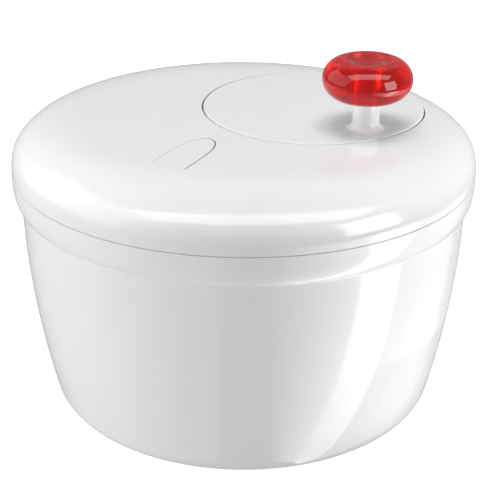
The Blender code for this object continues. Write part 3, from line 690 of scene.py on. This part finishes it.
def make_gears():
    module = 2 * math.hypot(*DISC_AT) / 48
    rim = [polar(0.0626, 2 * math.pi * k / 180) for k in range(180)]
    spaces = gear_outline(60, module, -0.65, 1.25, 0.000175, 4)
    ring = extrude("ring_gear_moulding", rim, GEAR_LOW, DISC_UNDER_Z - GAP, DISC_AT, holes=[spaces])
    settle(ring, "ring_gear")
    teeth = gear_outline(12, module, -1.1, 1.0, -0.000175, 8)
    bore = [polar(0.00295, math.radians(60 * k)) for k in range(6)]
    settle(extrude("pinion_moulding", teeth, GEAR_LOW, GEAR_HIGH, holes=[bore]), "pinion")


# ---------------------------------------------------------------- drive plate


def make_drive_plate():
    low, high, edge = 0.1498, 0.1520, 0.1154
    points = [(0, 0.1546), (0.0085, 0.1546, 0.0004), (0.0095, high, 0.0008), (0.0545, high, 0.0008)]
    points += [(0.0560, 0.1534, 0.0005), (0.0690, 0.1534, 0.0005), (0.0705, high, 0.0008)]
    points += [(edge, high, 0.0032), (edge - 0.0004, 0.1370, 0.0005), (edge - 0.0024, 0.1370, 0.0005)]
    points += [(edge - 0.0024, low, 0.0030), (0.0090, low, 0.0008), (0.0080, 0.1456, 0.0004), (0, 0.1456)]
    plate = revolve("drive_moulding", rounded(points, 5))
    lugs = []
    for k in range(LUG_COUNT):
        lug = soften(block("lug", (edge - 0.0020, -0.0070, 0.1372), (0.1210, 0.0070, 0.1410)), 0.0006)
        lug.rotation_euler.z = 2 * math.pi * k / LUG_COUNT + math.pi / SLOTS
        lugs.append(lug)
    boolean(plate, lugs, "UNION")
    boolean(plate, [rod("bore", 0.0028, 0.1440, 0.1560, steps=6)], "DIFFERENCE")
    settle(plate, "drive_plate")


# ---------------------------------------------------------------- brake's inner pieces


def make_brake_pieces():
    turn, low, high, top = BRAKE_ANGLE, BRACKET_LOW, BRACKET_HIGH, TOP_Z - WALL - 0.0008
    pad = block("pad", (0.0575, -0.0070, 0.1566), (0.0665, 0.0070, 0.1593), turn)
    settle(soften(pad, 0.0005), "brake_pad")
    bracket = soften(block("bracket", (0.0690, -0.0145, low), (0.0920, 0.0145, high), turn), 0.0004)
    added, removed = [], [cross_rod("pin_hole", 0.0017, HINGE_X, HINGE_Z, 0.0200, turn)]
    for side in (-1, 1):
        y = sorted((side * 0.0120, side * 0.0145))
        added.append(block("cheek", (0.0790, y[0], low + 0.0005), (0.0900, y[1] - 0.00002, top), turn))
        y = sorted((side * 0.0135, side * BRACKET_SCREW_Y))
        added.append(block("link", (0.0760, y[0], low + 0.0001), (0.0840, y[1], high - 0.0001), turn))
        at = turn_point(BRACKET_SCREW_X, side * BRACKET_SCREW_Y)
        added.append(rod("ear", 0.0048, low, high, at))
        removed.append(rod("hole", 0.0017, low - 0.001, high + 0.001, at, 24))
        node = f"bracket_screw_{(side + 3) // 2}"
        make_screw(node, at, 0.0031, low - GAP - 0.0020, low - GAP, 0.0013, 0.1675)
    boolean(bracket, added, "UNION")
    boolean(bracket, removed, "DIFFERENCE")
    settle(bracket, "brake_bracket")
    settle(soften(cross_rod("pin", 0.0014, HINGE_X, HINGE_Z, 0.0142, turn), 0.0002), "brake_pin")


def make_spring():
    """Four coils between the bracket and the key."""
    turns, per_turn, facets, radius, wire = 4, 36, 12, 0.0032, 0.00035
    low, high = BRACKET_HIGH + GAP + wire, TOP_Z - WALL - GAP - wire
    count = turns * per_turn
    cage = bmesh.new()
    rings = []
    for k in range(count + 1):
        angle = 2 * math.pi * k / per_turn
        outward = Vector((*polar(1, angle), 0))
        middle = outward * radius + Vector((*turn_point(SPRING_X, 0), low + (high - low) * k / count))
        ring = []
        for n in range(facets):
            across, up = polar(wire, 2 * math.pi * n / facets)
            ring.append(cage.verts.new(middle + outward * across + Vector((0, 0, up))))
        rings.append(ring)
    for before, after in zip(rings, rings[1:]):
        for n in range(facets):
            m = (n + 1) % facets
            cage.faces.new([before[n], before[m], after[m], after[n]])
    cage.faces.new(rings[0])
    cage.faces.new(rings[-1])
    bmesh.ops.recalc_face_normals(cage, faces=cage.faces)
    spring = as_object("spring_wire", cage)
    spring.data.materials.append(steel)
    spring.data.shade_smooth()
    spring.data.set_sharp_from_angle(angle=math.radians(40))
    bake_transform(spring)
    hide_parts("brake_spring")


make_bowl()
make_lid()
make_key()
make_disc()
make_knob()
make_basket()
make_turned_pieces()
make_housing()
make_spindle()
make_gears()
make_drive_plate()
make_brake_pieces()
make_spring()

# ---------------------------------------------------------------- floor, light and camera


def make_floor():
    cage = bmesh.new()
    bmesh.ops.create_grid(cage, x_segments=1, y_segments=1, size=6)
    floor = as_object("floor", cage)
    material = surface("floor_white", (0.93, 0.93, 0.93), (0.95, 0.95, 0.95), 0.55, 0.03)
    shader = material.node_tree.nodes["Principled BSDF"]
    shader.inputs["Emission Color"].default_value = (1, 1, 1, 1)
    shader.inputs["Emission Strength"].default_value = 0.6
    floor.data.materials.append(material)
    floor.visible_diffuse = floor.visible_glossy = False


def add_light(name, at, size, power, aim=(0, 0, 0.1), turn=None, lights=True, reflects=True):
    """A rectangular softbox aimed at a point, or, given a turn, lying face up like a card.

    Lights and reflects say whether it lights the surfaces and whether it mirrors in them.
    """
    light = bpy.data.lights.new(name, "AREA")
    light.shape = "RECTANGLE"
    light.size, light.size_y = size
    light.energy = power
    obj = bpy.data.objects.new(name, light)
    obj.location = at
    if turn is None:
        obj.rotation_euler = (Vector(aim) - Vector(at)).to_track_quat("-Z", "Y").to_euler()
    else:
        obj.rotation_euler = (math.pi, 0, math.radians(turn))
    obj.visible_camera = False
    obj.visible_diffuse = lights
    obj.visible_glossy = reflects
    bpy.context.scene.collection.objects.link(obj)


def add_spot(name, at, aim, power, degrees):
    """A narrow soft spot on one small place."""
    light = bpy.data.lights.new(name, "SPOT")
    light.energy = power
    light.spot_size = math.radians(degrees)
    light.spot_blend = 1
    light.shadow_soft_size = 0.04
    obj = bpy.data.objects.new(name, light)
    obj.location = at
    obj.rotation_euler = (Vector(aim) - Vector(at)).to_track_quat("-Z", "Y").to_euler()
    obj.visible_glossy = False
    bpy.context.scene.collection.objects.link(obj)


# Cards lie on the table and fan out from just in front of the bowl's foot.
CARD_FOOT_Y, CARD_Z = -0.108, 0.003
CARD_START, CARD_END, CARD_STEPS = 0.012, 0.58, 12  # distances along an edge, and its facets
GLOW_REACH = 0.10  # how far from the foot an edge's glow changes


def card_edge(start_x, bearing, foot_glow, far_glow):
    """(place, glow) along one edge of a card, which starts by the foot and runs along a bearing."""
    along = Vector((*polar(1, math.radians(bearing)), 0))
    start = Vector((start_x, CARD_FOOT_Y, CARD_Z))
    steps = [CARD_START + (CARD_END - CARD_START) * (k / CARD_STEPS) ** 2 for k in range(CARD_STEPS + 1)]
    return [(start + along * s, far_glow + (foot_glow - far_glow) * math.exp(-s / GLOW_REACH)) for s in steps]


def add_card(name, first, last):
    """A glowing card between two edges, seen only as a reflection."""
    cage = bmesh.new()
    glow = cage.verts.layers.float.new("glow")
    columns = []
    edges = zip(card_edge(*first), card_edge(*last))
    for (near, near_glow), (far, far_glow) in edges:
        column = []
        for k in range(CARD_STEPS + 1):
            share = k / CARD_STEPS
            vertex = cage.verts.new(near.lerp(far, share))
            vertex[glow] = near_glow + (far_glow - near_glow) * share
            column.append(vertex)
        columns.append(column)
    for before, after in zip(columns, columns[1:]):
        for k in range(CARD_STEPS):
            cage.faces.new([before[k], after[k], after[k + 1], before[k + 1]])
    bmesh.ops.remove_doubles(cage, verts=cage.verts, dist=1e-6)
    bmesh.ops.recalc_face_normals(cage, faces=cage.faces)
    card = as_object(name, cage)
    material = surface(name, (0.02, 0.02, 0.02), (0.03, 0.03, 0.03), 0.6, 0.05)
    tree = material.node_tree
    shader = tree.nodes["Principled BSDF"]
    shader.inputs["Emission Color"].default_value = (1, 1, 1, 1)
    reader = tree.nodes.new("ShaderNodeAttribute")
    reader.attribute_name = "glow"
    link(tree, reader.outputs["Fac"], shader.inputs["Emission Strength"])
    card.data.materials.append(material)
    card.visible_camera = card.visible_diffuse = card.visible_shadow = card.visible_transmission = False


def make_camera():
    """The camera looks at the seam's centre from 25 degrees above, six lid radii away."""
    elevation, roll = math.radians(24.97), math.radians(0.47)
    distance, shift_x, shift_y = 6.0, -0.0265, 0.393  # in lid radii
    ahead = Vector((0, math.cos(elevation), -math.sin(elevation)))
    level_right = Vector((1, 0, 0))
    level_up = Vector((0, math.sin(elevation), math.cos(elevation)))
    right = level_right * math.cos(roll) + level_up * math.sin(roll)
    up = level_up * math.cos(roll) - level_right * math.sin(roll)
    place = Vector((0, 0, SEAM_Z)) - (right * shift_x + up * shift_y + ahead * distance) * LID_RADIUS
    camera = bpy.data.cameras.new("camera")
    camera.sensor_width = 36
    camera.lens = 99.2
    obj = bpy.data.objects.new("camera", camera)
    obj.matrix_world = Matrix.Translation(place) @ Matrix((right, up, -ahead)).transposed().to_4x4()
    bpy.context.scene.collection.objects.link(obj)
    bpy.context.scene.camera = obj


def make_world():
    world = bpy.data.worlds.new("studio")
    world.use_nodes = True
    background = world.node_tree.nodes["Background"]
    background.inputs["Color"].default_value = (1, 1, 1, 1)
    background.inputs["Strength"].default_value = 0.34
    bpy.context.scene.world = world


make_floor()
make_camera()
make_world()
add_light("top_softbox", (0.0, 0.0, 1.45), (0.75, 0.65), 12.4, reflects=False)
add_light("table_bounce", (0.0, 0.0, 0.001), (2.4, 2.4), 6.2, turn=0, reflects=False)
add_light("right_softbox", (1.05, 0.0, 0.15), (0.9, 0.28), 7.2, reflects=False)
add_light("left_softbox", (-0.95, -0.24, 0.20), (1.2, 0.40), 6.8, reflects=False)
add_light("right_bounce", (0.62, 0.05, 0.001), (0.9, 0.9), 4.5, turn=0, reflects=False)
add_spot("stem_spot", (0.02, -0.60, 0.22), (*STEM_AT, 0.179), 8, 5)
# Each edge of a card: where it starts along X, its bearing in degrees, its glow by the foot and far off.
add_card("left_card", (-0.060, 152, 0.15, 0.15), (-0.012, -101, 0.8, 0.8))
add_card("front_card", (0.017, -78, 0.4, 0.4), (0.020, -24.5, 3.5, 4.2))
add_card("right_card", (0.020, -24.5, 3.2, 7.7), (0.020, -0.5, 2.7, 6.2))
add_card("far_card", (0.020, -0.5, 1.6, 2.7), (0.060, 46.5, 0.4, 0.6))
add_light("back_panel", (0.0, 0.75, 0.95), (1.2, 0.6), 0.6, lights=False)
add_light("top_panel", (0.10, -0.42, 1.40), (2.2, 0.70), 17, (0.07, 0, 0.2), lights=False)
add_light("right_panel", (0.70, -0.44, 0.33), (0.42, 0.55), 4.0, (0.07, 0, 0.2), lights=False)
add_light("left_panel", (-0.95, 0.0, 0.60), (1.4, 1.0), 5, (0.07, 0, 0.2), lights=False)
bpy.context.scene.view_settings.view_transform = "Standard"
